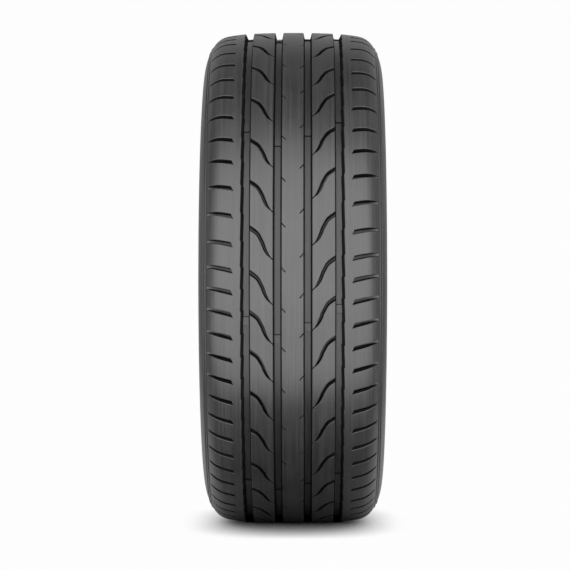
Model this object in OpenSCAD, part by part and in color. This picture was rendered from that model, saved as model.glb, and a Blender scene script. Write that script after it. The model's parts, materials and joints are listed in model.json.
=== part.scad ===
// Radial car tyre, standing on its tread.
// The origin is the wheel's centre, the axle runs along Y and Z is up.
// X points to the stretch of tread that faces the viewer.

/* [Overall size] */
// Diameter of the rim seat that the beads grip
rim_diameter = 436.6; // [428:0.1:444]
// Height of the section, from the rim seat to the crown of the tread
section_height = 98.85; // [94:0.05:104]
// Widest distance across the two sidewalls
section_width = 225.8; // [218:0.1:234]
// Distance between the outer faces of the two beads
bead_spacing = 190.5; // [184:0.5:197]
// How far the ground flattens the tread under the tyre's own weight
ground_flat = 1.5; // [0.8:0.1:3]

/* [Tread crown] */
// Width of the flatter middle of the tread
crown_width = 100; // [92:1:104]
// Radius of the flatter middle, seen in section
crown_radius = 1200; // [800:10:2000]
// How far in from the widest point of the sidewall the shoulder begins to turn down
shoulder_inset = 29.9; // [27.9:0.1:32]
// Radius of the tread between the flatter middle and the shoulder
outer_crown_radius = 250; // [220:5:400]
// Radius of the shoulder corner, seen in section
shoulder_radius = 28; // [25:0.5:30]
// Slope at which the shoulder corner passes into the sidewall, degrees
shoulder_slope = 57; // [54:1:60]

/* [Ribs and grooves] */
// Distance from the tyre's middle to the middle of a centre groove
centre_groove_at = 18.1; // [17:0.1:19]
// Width of a centre groove at the tread's surface
centre_groove_width = 10.5; // [9:0.1:11.5]
// How far in from the start of the shoulder the middle of a shoulder groove lies
shoulder_groove_inset = 27.3; // [26:0.1:28.5]
// Width of a shoulder groove at the tread's surface
shoulder_groove_width = 10.8; // [9:0.1:12]
// Depth of the four grooves that run round the tyre
groove_depth = 8.5; // [7.6:0.1:9.5]
// How far a groove's wall leans, on the side towards the tyre's middle
inner_wall_lean = 1.7; // [0.8:0.1:2.2]
// How far a centre groove's wall leans, on the side towards the shoulder
outer_wall_lean = 1.9; // [0.8:0.1:2.5]
// How far a shoulder groove's wall leans, on the side towards the shoulder
shoulder_wall_lean = 2.9; // [1.5:0.1:3.5]

/* [Slash grooves] */
// Depth of the bent grooves that cross the ribs beside the middle one
slash_depth = 6.6; // [4:0.1:7]
// Width of a slash groove where it leaves the shoulder groove
slash_mouth = 5.2; // [4.2:0.1:6]
// Width of a slash groove in the middle of the rib
slash_width = 4.1; // [3:0.1:5]
// How far a slash groove and its sipe run round the tyre
slash_sweep = 41.5; // [36:0.1:44]
// Width of the sipe that carries a slash groove on to the centre groove
sipe_width = 1.2; // [0.8:0.1:2]
// Length of the short sipes in the edges of the middle rib
edge_sipe_length = 6.8; // [5:0.1:10]
// Slant of the short sipes across the rib's edge, degrees
edge_sipe_slant = 50; // [40:1:60]
// Depth of the short sipes
edge_sipe_depth = 5; // [3:0.1:7]

/* [Shoulder slots] */
// Solid rubber between the shoulder groove and the inner end of a slot
slot_land = 7.8; // [6:0.1:12]
// Width of a slot at its inner end
slot_mouth = 6.1; // [5:0.1:8]
// How much further out the upper corner of a slot's inner end lies than the lower
slot_slant = 2.6; // [1.5:0.1:4]
// Width of a slot at its outer end
slot_tail = 3.7; // [2.5:0.1:4.5]
// How far a slot's outer end has climbed against its inner end
slot_climb = 4.4; // [2:0.1:7]
// Depth of a slot at its inner end
slot_depth = 6.5; // [5:0.1:8]

/* [Pitch] */
// How far the slots of the right half are turned ahead of the left ones, degrees
side_shift = 2.7; // [0:0.1:5]

/* [Wear bars] */
// Number of wear bars round each groove
bars_round = 8; // [4:1:10]
// Height of a wear bar above the groove's base
bar_height = 1.6; // [1:0.1:2.5]
// Length of a wear bar along the groove
bar_length = 10; // [6:0.5:14]
// Angle of the first wear bar in a shoulder groove, degrees
shoulder_bar_at = 9.5; // [0:0.5:40]
// Angle of the first wear bar in a centre groove, degrees
centre_bar_at = 13.5; // [0:0.5:40]

/* [Sidewall and cavity] */
// Height of the sidewall's widest point above the rim seat
widest_height = 43.85; // [40:0.05:48]
// Thickness of the sidewall at its widest point
sidewall_thickness = 9; // [7:0.5:11]
// Thickness of the tread and its belts at the middle
crown_thickness = 16; // [14:0.5:19]
// Height of the fine rings moulded on the sidewall
ring_height = 0.7; // [0.4:0.1:1]
// Width of the fine rings
ring_width = 1.6; // [1:0.1:2.5]

/* [Bead] */
// Width of the round seat under each bead
bead_land = 10; // [6:0.5:14]
// Radius of the bead's heel, outside
heel_radius = 7; // [5:0.5:8]
// Radius of the bead's toe, inside
toe_radius = 3; // [2:0.5:5]
// Height of the upright face that the rim's flange grips
flange_face = 14; // [12:0.5:16]
// Radius of the hollow that clears the top of the rim's flange
flange_hollow = 8; // [6:0.5:9]
// How far the rib that guards the rim stands out past the bead's face
guard_reach = 14.5; // [13:0.5:15.5]
// Radius of that rib's nose
guard_nose = 2.6; // [2:0.1:3.2]

/* [Hidden] */
$fn = 180;

bead_r = rim_diameter / 2;
tyre_r = bead_r + section_height;
half_width = section_width / 2;
half_tread = half_width - shoulder_inset;
bead_face = bead_spacing / 2;
shoulder_groove_at = half_tread - shoulder_groove_inset;

// Cuts reach this far past the rubber that they have to clear
clear = 3;
// What is raised on the rubber is rooted this deep in it
root = 1;

// The pattern repeats in steps of four lengths, small S to extra large X, mixed so
// that the tread runs quietly. An order starts at the top of the front and goes down
// and round. The two halves carry their slash grooves in different orders.
left_slash_order = "XXXLLMSSMMLMMMLLMSMMLLXXLLMSSMMSLLMX";
right_slash_order = "XMLLLMSSMMLMMMLLMXMMLLXXLLMSSMMMLLMX";
slot_order = str("XXXXXXLXXXLSSMMMMMMMMMMLMM",
                 "MLLXXXXLLMMSSMMLXXXXXLLMMSSSLLXXXMLMMMS");
// Their lengths in degrees, before the whole order is fitted to one turn
slash_steps = [8.6, 9.6, 10.3, 11.75];
slot_steps = [4.75, 5.1, 5.65, 6.25];
// Angles of the first slash groove and the first slot of the left half, degrees
// from the front of the tread, downwards
left_slash_start = -67.2;
right_slash_start = -66.6;
slot_start = -69.6;
// Angle from a slash groove back to the short sipe that belongs to it
edge_sipe_lead = 0.4;

// The middle line of a slash groove bends at its knee and again at its neck. Each bend
// is given by its start, its corner and its end, as shares of the way across and round.
slash_knee = [[0.2, 0.177], [0.336, 0.241], [0.409, 0.333]];
slash_neck = [[0.555, 0.516], [0.7, 0.824], [0.894, 0.933]];
// Where the two edges of a slot bend, as shares of its length
slot_knee_top = 0.56;
slot_knee_low = 0.8;
// Where the lower sidewall bends in to the rim's guard, as a share of its height
lower_knee_share = 0.45;

// The fine rings, as shares of the way along the upper and the lower sidewall
upper_rings = [0.1, 0.25];
lower_ring = 0.65;

// The liner: how far the bead's inner face stands up, how far inside the bead's
// outer face it then lies, and how the liner turns below the shoulder
bead_inner_face = 12;
bead_inner_inset = 6;
liner_turn_drop = 14;
liner_shoulder_drop = 4;
liner_shoulder_inset = 8;

function step_length(kind, steps) =
    kind == "S" ? steps[0] : kind == "M" ? steps[1] : kind == "L" ? steps[2] : steps[3];

function total(list, count) =
    count == 0 ? 0 : list[count - 1] + total(list, count - 1);

// Angles at which a pattern repeats, from its step lengths and their order
function pitch_angles(start, steps, order) =
    let (lengths = [for (kind = order) step_length(kind, steps)],
         whole = total(lengths, len(lengths)))
    [for (i = [0 : len(lengths) - 1]) start + 360 * total(lengths, i) / whole];

// Point on a curve that leaves a towards b and arrives at c
function bend_point(a, b, c, t) =
    (1 - t) * (1 - t) * a + 2 * t * (1 - t) * b + t * t * c;
function bend(a, b, c, steps, first = 0) =
    [for (i = [first : steps]) bend_point(a, b, c, i / steps)];

// Corners of a strip of even width from a to b
function strip(a, b, width) =
    let (side = [a[1] - b[1], b[0] - a[0]] / norm(b - a) * width / 2)
    [a - side, b - side, b + side, a + side];

// The section is drawn as [distance from the axle, distance from the middle]
crown_slope = asin(crown_width / 2 / crown_radius);
tread_slope = asin(sin(crown_slope) + (half_tread - crown_width / 2) / outer_crown_radius);
crown_drop = crown_radius * (1 - cos(crown_slope));
tread_drop = crown_drop + outer_crown_radius * (cos(crown_slope) - cos(tread_slope));

// Drop of the tread's surface below the crown at a distance from the middle
function surface_drop(y) =
    y <= crown_width / 2
        ? crown_radius - sqrt(crown_radius * crown_radius - y * y)
    : y <= half_tread
        ? crown_drop + outer_crown_radius * (cos(crown_slope)
            - cos(asin(sin(crown_slope) + (y - crown_width / 2) / outer_crown_radius)))
    : tread_drop + shoulder_radius * (cos(tread_slope)
            - cos(asin(sin(tread_slope) + (y - half_tread) / shoulder_radius)));

crown_steps = 4;
outer_crown_steps = 3;
shoulder_steps = 5;
crown_points = [for (i = [0 : crown_steps])
    let (y = crown_width / 2 * i / crown_steps)
    [tyre_r - surface_drop(y), y]];
outer_crown_points = [for (i = [1 : outer_crown_steps])
    let (y = crown_width / 2 + (half_tread - crown_width / 2) * i / outer_crown_steps)
    [tyre_r - surface_drop(y), y]];
shoulder_points = [for (i = [1 : shoulder_steps])
    let (slope = tread_slope + (shoulder_slope - tread_slope) * i / shoulder_steps)
    [tyre_r - tread_drop - shoulder_radius * (cos(tread_slope) - cos(slope)),
     half_tread + shoulder_radius * (sin(slope) - sin(tread_slope))]];

shoulder_end = shoulder_points[shoulder_steps - 1];
widest = [bead_r + widest_height, half_width];
upper_knee = [shoulder_end[0] - (half_width - shoulder_end[1]) * tan(shoulder_slope), half_width];

// The rib that guards the rim, and the hollow below it
flange_top = bead_r + flange_face + flange_hollow;
guard_middle = [flange_top + guard_nose, bead_face + guard_reach - guard_nose];
guard_tip = guard_middle + [guard_nose, guard_nose * 2 / 3];
lower_knee = [guard_tip[0] + (widest[0] - guard_tip[0]) * lower_knee_share, half_width];
guard_nose_points = [for (turn = [20 : 40 : 180])
    guard_middle + guard_nose * [cos(turn), sin(turn)]];
hollow_points = [for (turn = [0 : 22.5 : 90])
    [flange_top, bead_face] + flange_hollow * [-sin(turn), cos(turn)]];

// Bead: heel, round seat and toe
heel_points = [for (turn = [0 : 22.5 : 90])
    [bead_r, bead_face] + heel_radius * [1 - sin(turn), cos(turn) - 1]];
toe_start = bead_face - heel_radius - bead_land;
toe_points = [for (turn = [0 : 30 : 90])
    [bead_r, toe_start] + toe_radius * [1 - cos(turn), -sin(turn)]];

// Half of the tyre's outline, from the crown's middle to the bead's toe
outside_half = concat(
    crown_points,
    outer_crown_points,
    shoulder_points,
    bend(shoulder_end, upper_knee, widest, 5, 1),
    bend(widest, lower_knee, guard_tip, 4, 1),
    guard_nose_points,
    hollow_points,
    heel_points,
    toe_points);

// Half of the air space inside, from the toe back up to the crown's middle
toe_end = toe_points[len(toe_points) - 1];
bead_back = [flange_top, bead_face - bead_inner_inset];
inner_widest = [widest[0], half_width - sidewall_thickness];
liner_r = tyre_r - crown_thickness;
liner_shoulder = [liner_r - liner_shoulder_drop, half_tread - liner_shoulder_inset];
inside_half = concat(
    bend(toe_end, toe_end + [bead_inner_face, 0], bead_back, 3, 1),
    bend(bead_back, [(bead_back[0] + inner_widest[0]) / 2, inner_widest[1]], inner_widest, 3, 1),
    bend(inner_widest, [liner_r - liner_turn_drop, inner_widest[1]], liner_shoulder, 4, 1),
    bend(liner_shoulder, [liner_r, half_tread / 2], [liner_r, 0], 3, 1));

function mirrored(points) = [for (i = [len(points) - 1 : -1 : 0]) [points[i][0], -points[i][1]]];
// The crown's middle point and the liner's middle point appear once each
outline = concat(
    outside_half,
    inside_half,
    mirrored([for (i = [0 : len(inside_half) - 2]) inside_half[i]]),
    mirrored([for (i = [1 : len(outside_half) - 1]) outside_half[i]]));

// Section of a groove that runs round the tyre, on the right half
module groove_section(at, width, outer_lean) {
    top = tyre_r - surface_drop(at) + clear;
    base = tyre_r - surface_drop(at) - groove_depth;
    flare = clear / groove_depth;
    polygon([
        [base, at - width / 2 + inner_wall_lean],
        [base, at + width / 2 - outer_lean],
        [top, at + width / 2 + outer_lean * flare],
        [top, at - width / 2 - inner_wall_lean * flare]]);
}

// Section of a fine ring, at a share of the way along a bend of the right sidewall
module ring_section(a, b, c, share) {
    at = bend_point(a, b, c, share);
    ahead = bend_point(a, b, c, share + 0.01) - at;
    translate(at)
        rotate(atan2(ahead[1], ahead[0]))
            translate([-ring_width / 2, -root])
                square([ring_width, root + ring_height]);
}

module both_halves() {
    children();
    mirror([0, 1])
        children();
}

module tyre_section() {
    difference() {
        union() {
            polygon(outline);
            both_halves() {
                for (share = upper_rings)
                    ring_section(shoulder_end, upper_knee, widest, share);
                ring_section(widest, lower_knee, guard_tip, lower_ring);
            }
        }
        both_halves() {
            groove_section(centre_groove_at, centre_groove_width, outer_wall_lean);
            groove_section(shoulder_groove_at, shoulder_groove_width, shoulder_wall_lean);
        }
    }
}

// A flat outline drawn as [across the tread, up the front] cuts down to radius base_r
module radial_cutter(base_r, depth) {
    rotate([90, 0, 90])
        translate([0, 0, base_r])
            linear_extrude(depth + clear)
                children();
}

// The rib that a slash groove crosses, from the shoulder groove to the centre groove
slash_out = shoulder_groove_at - shoulder_groove_width / 2;
slash_in = centre_groove_at + centre_groove_width / 2;

// Point from its shares of the way across that rib and round the tyre
function slash_point(share) =
    [slash_out - share[0] * (slash_out - slash_in), -share[1] * slash_sweep];

// Point where the line from a through b reaches a distance from the tyre's middle
function reached(a, b, across) = a + (b - a) * (across - a[0]) / (b[0] - a[0]);

// Step to the side of a line of points, square to its course, half a width long
function aside(line, widths, i) =
    let (course = line[min(i + 1, len(line) - 1)] - line[max(i - 1, 0)])
    [-course[1], course[0]] / norm(course) * widths[i] / 2;

neck_steps = 4;
module slash_outline() {
    knee = [for (share = slash_knee) slash_point(share)];
    neck = [for (share = slash_neck) slash_point(share)];
    line = concat(
        [reached(knee[1], knee[0], slash_out + clear)],
        bend(knee[0], knee[1], knee[2], 2),
        bend(neck[0], neck[1], neck[2], neck_steps),
        [reached(neck[2], slash_point([1, 1]), slash_in - clear / 2)]);
    widths = concat(
        [for (i = [0 : 3]) slash_mouth + (slash_width - slash_mouth) * i / 4],
        [for (i = [0 : neck_steps])
            sipe_width + (slash_width - sipe_width) * (1 - pow(i / neck_steps, 2))],
        [sipe_width]);
    last = len(line) - 1;
    polygon(concat(
        [for (i = [0 : last]) line[i] + aside(line, widths, i)],
        [for (i = [last : -1 : 0]) line[i] - aside(line, widths, i)]));
}

// Short sipe in the edge of the middle rib
module edge_sipe() {
    rib_edge = centre_groove_at - centre_groove_width / 2;
    start = [rib_edge + clear / 2, clear / 2];
    reach = edge_sipe_length + clear / 2 / cos(edge_sipe_slant);
    radial_cutter(tyre_r - edge_sipe_depth, edge_sipe_depth)
        polygon(strip(start, start - reach * [cos(edge_sipe_slant), sin(edge_sipe_slant)],
                      sipe_width));
}

// Tapering slot whose base meets the rubber's surface where the shoulder ends
slot_from = shoulder_groove_at + shoulder_groove_width / 2 + slot_land;
slot_base_in = tyre_r - surface_drop(slot_from) - slot_depth;
slot_fall = atan((slot_base_in - shoulder_end[0]) / (shoulder_end[1] - slot_from));
module shoulder_slot() {
    length = (shoulder_end[1] - slot_from) / cos(slot_fall) + clear;
    tail = slot_climb - slot_tail;
    translate([slot_base_in, slot_from, 0])
        rotate([0, 0, slot_fall])
            rotate([90, 0, 90])
                linear_extrude(slot_depth + clear)
                    polygon(concat(
                        bend([slot_slant, 0], [length * slot_knee_top, slot_climb],
                             [length, slot_climb], 4),
                        bend([length, tail], [length * slot_knee_low, tail],
                             [0, -slot_mouth], 4)));
}

module turned(angle) {
    rotate([0, angle, 0])
        children();
}

// Everything that is cut across the ribs of one half of the tread
module half_pattern(slash_start, slash_order, slots_start) {
    for (angle = pitch_angles(slash_start, slash_steps, slash_order)) {
        turned(angle)
            radial_cutter(tyre_r - surface_drop(slash_out) - slash_depth, slash_depth)
                slash_outline();
        turned(angle - edge_sipe_lead)
            edge_sipe();
    }
    for (angle = pitch_angles(slots_start, slot_steps, slot_order))
        turned(angle)
            shoulder_slot();
}

// Low bar across a groove's base, which meets the ground when the tread is worn
module wear_bar(at, width) {
    base = tyre_r - surface_drop(at) - groove_depth;
    translate([base - root, at - width / 2, -bar_length / 2])
        cube([bar_height + root, width, bar_length]);
}

module half_wear_bars() {
    for (i = [0 : bars_round - 1])
        turned(i * 360 / bars_round) {
            turned(shoulder_bar_at)
                wear_bar(shoulder_groove_at, shoulder_groove_width);
            turned(centre_bar_at)
                wear_bar(centre_groove_at, centre_groove_width);
        }
}

// The left half of the tread is drawn as a right one and mirrored
module tread_pattern() {
    half_pattern(right_slash_start, right_slash_order, slot_start - side_shift);
    mirror([0, 1, 0])
        half_pattern(left_slash_start, left_slash_order, slot_start);
}

module wear_bars() {
    turned(-side_shift)
        half_wear_bars();
    mirror([0, 1, 0])
        half_wear_bars();
}

// The ground's flat, cut square across the bottom of the tread
module ground_cut() {
    reach = section_width + 2 * clear;
    translate([-reach / 2, -reach / 2, -tyre_r - clear])
        cube([reach, reach, clear + ground_flat]);
}

module tyre() {
    color([0.13, 0.13, 0.135])
        difference() {
            union() {
                rotate([-90, 0, 0])
                    rotate_extrude()
                        tyre_section();
                wear_bars();
            }
            tread_pattern();
            ground_cut();
        }
}

tyre();
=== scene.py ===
# %% [markdown]
# # A car tyre, from its section to its tread
#
# The object is one moulded piece of rubber that stands on its tread. A tyre is easy to
# get wrong as a smooth ring with stripes, because what the eye reads is the tread: grooves
# with leaning walls, curved slashes, tapering slots and fine sipes, all of them real cuts.
#
# The plan has four steps. The section of the tyre is drawn once as a curve. The tread
# pattern is drawn flat, as a map that could be wrapped round the wheel. The map is
# triangulated so that every groove edge is an edge of the mesh. Then the map is wrapped
# on the section and the sidewalls, the beads and the inside are spun to meet it.

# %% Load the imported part
import json
import math

import bpy
import numpy as np
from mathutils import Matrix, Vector, kdtree
from mathutils.geometry import delaunay_2d_cdt


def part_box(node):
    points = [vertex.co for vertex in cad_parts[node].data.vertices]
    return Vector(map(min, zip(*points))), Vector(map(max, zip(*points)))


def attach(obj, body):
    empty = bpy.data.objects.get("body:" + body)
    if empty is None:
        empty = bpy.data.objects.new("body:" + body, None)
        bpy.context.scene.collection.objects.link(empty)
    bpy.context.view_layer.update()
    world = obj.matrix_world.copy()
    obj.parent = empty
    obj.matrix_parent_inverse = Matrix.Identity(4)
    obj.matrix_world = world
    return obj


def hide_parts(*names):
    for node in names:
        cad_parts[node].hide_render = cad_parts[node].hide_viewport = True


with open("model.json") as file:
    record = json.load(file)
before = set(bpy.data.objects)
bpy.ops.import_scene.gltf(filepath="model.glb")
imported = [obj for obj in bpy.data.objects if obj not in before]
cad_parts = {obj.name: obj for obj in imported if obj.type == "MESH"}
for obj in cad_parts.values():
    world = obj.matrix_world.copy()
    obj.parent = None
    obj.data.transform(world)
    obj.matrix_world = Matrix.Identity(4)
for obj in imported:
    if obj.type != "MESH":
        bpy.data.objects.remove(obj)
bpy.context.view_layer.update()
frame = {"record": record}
CAD_LOW, CAD_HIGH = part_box("tyre")
print("the packed part measures", [round(v, 4) for v in CAD_HIGH - CAD_LOW], "m")

# %% [markdown]
# ## Sizes
#
# The frame is in metres, but a tyre is drawn in millimetres, so all the sizes below are
# millimetres and one factor turns the finished mesh into metres. The outer sizes come
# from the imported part, so this skin can't grow past it, and the rim seat comes from the
# mount that the record states.

# %% Read the driving sizes from the frame
MM = 0.001
mounts = {mount["name"]: mount for mount in frame["record"]["mounts"]}
TYRE_R = CAD_HIGH.z / MM
GROUND = -CAD_LOW.z / MM
HALF_WIDTH = CAD_HIGH.y / MM
BEAD_R = mounts["rim_seat"]["dims"]["r_mm"]
HEEL_RADIUS = 7.0
BEAD_LAND = 10.0
BEAD_FACE = mounts["rim_seat"]["dims"]["length_mm"] / 2 + HEEL_RADIUS
print(f"radius {TYRE_R:.2f}, ground at {GROUND:.2f}, half width {HALF_WIDTH:.2f} mm")

# %% [markdown]
# ## The camera
#
# The photograph looks almost square at the tread from about ten radii away, with the lens
# at the height of the axle: the tyre's top and bottom are equally far from its widest
# place. It stands a quarter of a degree to the right, because the near part of the grooves
# lies a little left of their top and bottom. A long lens gives that view without much
# widening of the near tread. The tyre sits a little right of the picture's middle and a
# little above it, which is what a small lens shift does, and a shift keeps upright lines
# upright.

# %% Place the camera
PICTURE_PX = 570
TYRE_MIDDLE_PX = (293.7, 277.9)
CAMERA_DISTANCE = 10.2 * TYRE_R * MM
CAMERA_TURN = math.radians(0.25)
SENSOR = 36.0
PX_PER_RADIAN = 2487.0

camera_data = bpy.data.cameras.new("view")
camera_data.sensor_width = SENSOR
camera_data.lens = PX_PER_RADIAN / PICTURE_PX * SENSOR
camera_data.shift_x = (PICTURE_PX / 2 - TYRE_MIDDLE_PX[0]) / PICTURE_PX
camera_data.shift_y = (TYRE_MIDDLE_PX[1] - PICTURE_PX / 2) / PICTURE_PX
camera = bpy.data.objects.new("view", camera_data)
bpy.context.scene.collection.objects.link(camera)
camera.location = (CAMERA_DISTANCE * math.cos(CAMERA_TURN),
                   CAMERA_DISTANCE * math.sin(CAMERA_TURN), 0)
camera.rotation_euler = (math.radians(90), 0, math.radians(90) + CAMERA_TURN)
bpy.context.scene.camera = camera
print(f"lens {camera_data.lens:.1f} mm at {CAMERA_DISTANCE:.2f} m")

# %% [markdown]
# ## The section
#
# Cut across, a tyre's outside is a chain of arcs that meet without a corner: a nearly
# flat crown, a rounder band outside it, and a tight shoulder. Each arc is known by its
# radius and by the slope where it ends, so the chain needs no list of points. From the
# shoulder a soft bend leads to the widest place of the sidewall.
#
# The tread's part of the chain is kept as a table of arc length, distance from the
# middle, radius from the axle and slope. The arc length is the map's own coordinate:
# cuts keep their true width where the shoulder turns down.

# %% Draw the outside of the section
CROWN_RADIUS, CROWN_HALF = 1200.0, 50.0
BAND_RADIUS, BAND_WIDTH = 250.0, 33.0
CORNER_RADIUS, CORNER_SLOPE = 28.0, math.radians(57.0)
CROWN_ARCS = [(CROWN_RADIUS, math.asin(CROWN_HALF / CROWN_RADIUS)),
              (BAND_RADIUS, math.asin(CROWN_HALF / CROWN_RADIUS + BAND_WIDTH / BAND_RADIUS)),
              (CORNER_RADIUS, CORNER_SLOPE)]
BAND_END = CROWN_HALF + BAND_WIDTH
TREAD_MARGIN = 2.5
WIDEST_DROP = 55.0
ARC_STEPS = 240


def bend(start, knee, end, steps):
    """Points on a curve that leaves start towards knee and arrives at end."""
    t = np.linspace(0, 1, steps + 1)[:, None]
    start, knee, end = np.array(start), np.array(knee), np.array(end)
    return (1 - t) ** 2 * start + 2 * t * (1 - t) * knee + t ** 2 * end


def crown_chain():
    """The outside from the middle to the widest place, as (across, radius) points."""
    points = [np.array([[0.0, TYRE_R]])]
    slope = 0.0
    for radius, end_slope in CROWN_ARCS:
        turn = np.linspace(slope, end_slope, ARC_STEPS + 1)[1:]
        across = points[-1][-1, 0] + radius * (np.sin(turn) - math.sin(slope))
        height = points[-1][-1, 1] - radius * (math.cos(slope) - np.cos(turn))
        points.append(np.column_stack([across, height]))
        slope = end_slope
    across, height = points[-1][-1]
    knee = (HALF_WIDTH, height - (HALF_WIDTH - across) * math.tan(slope))
    points.append(bend((across, height), knee, (HALF_WIDTH, TYRE_R - WIDEST_DROP), ARC_STEPS)[1:])
    return np.vstack(points)


CHAIN = crown_chain()
CHAIN_STEP = np.diff(CHAIN, axis=0)
CHAIN_S = np.concatenate([[0], np.cumsum(np.hypot(CHAIN_STEP[:, 0], CHAIN_STEP[:, 1]))])
CHAIN_SLOPE = np.interp(CHAIN_S, (CHAIN_S[1:] + CHAIN_S[:-1]) / 2,
                        np.arctan2(-CHAIN_STEP[:, 1], CHAIN_STEP[:, 0]))


def across_at(s):
    return np.sign(s) * np.interp(np.abs(s), CHAIN_S, CHAIN[:, 0])


def radius_at(s):
    return np.interp(np.abs(s), CHAIN_S, CHAIN[:, 1])


def slope_at(s):
    return np.interp(np.abs(s), CHAIN_S, CHAIN_SLOPE)


def s_of(across):
    """Arc length from the middle to a distance across the tread."""
    return np.interp(across, CHAIN[:, 0], CHAIN_S)


SHOULDER_END = CHAIN_S[len(CROWN_ARCS) * ARC_STEPS]
TREAD_EDGE = round(SHOULDER_END + TREAD_MARGIN, 1)
print(f"the tread's map is {2 * TREAD_EDGE:.1f} mm wide and {2 * math.pi * TYRE_R:.0f} mm long")

# %% [markdown]
# ## The pitch
#
# A tread whose blocks were all the same length would hum like a siren. Makers mix blocks
# of a few lengths in an order with no rhythm, and turn one half of the pattern against
# the other. Both show in the photograph: the slots stand closer together below the
# middle than above it, and the two halves don't mirror each other. The orders below are
# the part's own, in steps from small to extra large.

# %% Work out where the pattern repeats
SLASH_STEPS = {"S": 8.6, "M": 9.6, "L": 10.3, "X": 11.75}
SLASH_ORDER = {-1: "XXXLLMSSMMLMMMLLMSMMLLXXLLMSSMMSLLMX",
               1: "XMLLLMSSMMLMMMLLMXMMLLXXLLMSSMMMLLMX"}
SLASH_START = {-1: -67.2, 1: -66.6}
SLOT_STEPS = {"S": 4.75, "M": 5.1, "L": 5.65, "X": 6.25}
SLOT_ORDER = "XXXXXXLXXXLSSMMMMMMMMMMLMMMLLXXXXLLMMSSMMLXXXXXLLMMSSSLLXXXMLMMMS"
SLOT_START = -69.6
EDGE_SIPE_LEAD = -0.4
SIDE_SHIFT = -2.7


def pitch_angles(start, steps, order):
    """Angles of a pattern that closes on itself after one turn, in degrees."""
    lengths = np.array([steps[kind] for kind in order])
    return start + 360 * np.concatenate([[0], np.cumsum(lengths)[:-1]]) / lengths.sum()


slash_angles = {side: pitch_angles(SLASH_START[side], SLASH_STEPS, SLASH_ORDER[side])
                for side in (-1, 1)}
slot_angles = pitch_angles(SLOT_START, SLOT_STEPS, SLOT_ORDER)
print(len(slash_angles[1]), "slashes and", len(slot_angles), "slots on each half")

# %% [markdown]
# ## Cuts as nested outlines
#
# A moulded groove is never a sharp-edged trench. Its upper edge is slightly rounded and
# its walls lean, or the mould wouldn't let go. Each cut is therefore three outlines, one
# inside the other: where the surface begins to turn down, the edge itself, and the base.
# Depths belong to the outlines' points, and between them the depth runs straight.
#
# The same outlines serve twice. They are the lines that the mesh must follow, and they
# answer how deep the rubber is cut at any point of the map.

# %% Make a cut from its outline
LIMIT_MITRE = 1.6
LIP_DROP = 0.9
LIP_IN = 0.1
TINY = 1e-9


def pushed(outline, distance):
    """The outline moved outwards by a distance that may differ from point to point."""
    ahead = np.roll(outline, -1, axis=0) - outline
    ahead /= np.maximum(np.linalg.norm(ahead, axis=1, keepdims=True), TINY)
    behind = np.roll(ahead, 1, axis=0)
    area = np.sum(outline[:, 0] * np.roll(outline[:, 1], -1)
                  - outline[:, 1] * np.roll(outline[:, 0], -1))
    turn = 1.0 if area > 0 else -1.0
    mean = turn * np.column_stack([ahead[:, 1] + behind[:, 1], -ahead[:, 0] - behind[:, 0]])
    length = np.maximum(np.sum(mean * mean, axis=1, keepdims=True) / 2, 2 / LIMIT_MITRE ** 2)
    return outline + mean / length * np.reshape(distance, (-1, 1))


def cut(outline, lean, depth, rounding):
    """A cut: its points on the map, their depths, its rings and its triangles.

    The outline's first and last points face each other across the cut, as do the next
    two, and so on. lean and depth are one number, or one for each point.
    """
    outline = np.array(outline, float)
    count = len(outline)
    depth = np.broadcast_to(depth, count)
    rounding = np.broadcast_to(rounding, count)
    lip = np.minimum(LIP_DROP * rounding, depth / 2)
    points = np.vstack([pushed(outline, rounding), pushed(outline, -LIP_IN * rounding),
                        pushed(outline, -np.broadcast_to(lean, count))])
    depths = np.concatenate([np.zeros(count), lip, depth])
    rings = [np.arange(count) + ring * count for ring in range(3)]
    triangles = []
    for outer, inner in zip(rings, rings[1:]):
        for i in range(count):
            j = (i + 1) % count
            triangles += [(outer[i], outer[j], inner[j]), (outer[i], inner[j], inner[i])]
    base = rings[2]
    for i in range(count // 2 - 1):
        a, b, c, d = base[i], base[i + 1], base[count - 2 - i], base[count - 1 - i]
        triangles += [(a, b, c), (a, c, d)]
    return {"points": points, "depths": depths, "rings": rings,
            "triangles": np.array(triangles)}


def moved(shape, around, side, matt):
    """A copy of a cut on one half of the tread, turned round the wheel, with its mattness."""
    points = shape["points"] * (side, 1) + (0, math.radians(around) * TYRE_R)
    return {**shape, "points": points, "matt": matt}


# %% [markdown]
# ## Slash grooves
#
# A slash leaves the shoulder groove at a slant, bends steeply down the rib at its knee and
# thins at its neck to a sipe, which runs on to the centre groove. It is drawn from its
# middle line, two bends joined by straight stretches, and from its width along that line,
# so the two edges always keep their distance. Both walls lean, and this is why the
# photograph shows a black line along each edge with a grey base between them.

# %% Draw a slash groove with its sipe
CENTRE_GROOVE, CENTRE_WIDTH = 18.1, 10.5
SHOULDER_GROOVE, SHOULDER_WIDTH = 55.7, 10.8
RIB_OUT = SHOULDER_GROOVE - SHOULDER_WIDTH / 2
RIB_IN = CENTRE_GROOVE + CENTRE_WIDTH / 2
REACH = 3.0
EDGE_ROUNDING = 0.4

SLASH_DEPTH = 6.6
SLASH_MOUTH = 5.2
SLASH_WIDTH = 4.1
SLASH_SWEEP = 41.5
SLASH_KNEE = np.array([(0.2, 0.177), (0.336, 0.241), (0.409, 0.333)])
SLASH_NECK = np.array([(0.555, 0.516), (0.7, 0.824), (0.894, 0.933)])
KNEE_STEPS, NECK_STEPS = 5, 7
SLASH_LEAN = 1.3
LEAN_SHARE_MOST = 0.32
ROUNDING_SHARE = 0.12
SIPE_WIDTH = 1.2
SIPE_LEAN = 0.22
SIPE_ROUNDING = 0.15
EDGE_SIPE_LENGTH = 6.8
EDGE_SIPE_SLANT = math.radians(50)
EDGE_SIPE_DEPTH = 5.0


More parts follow.
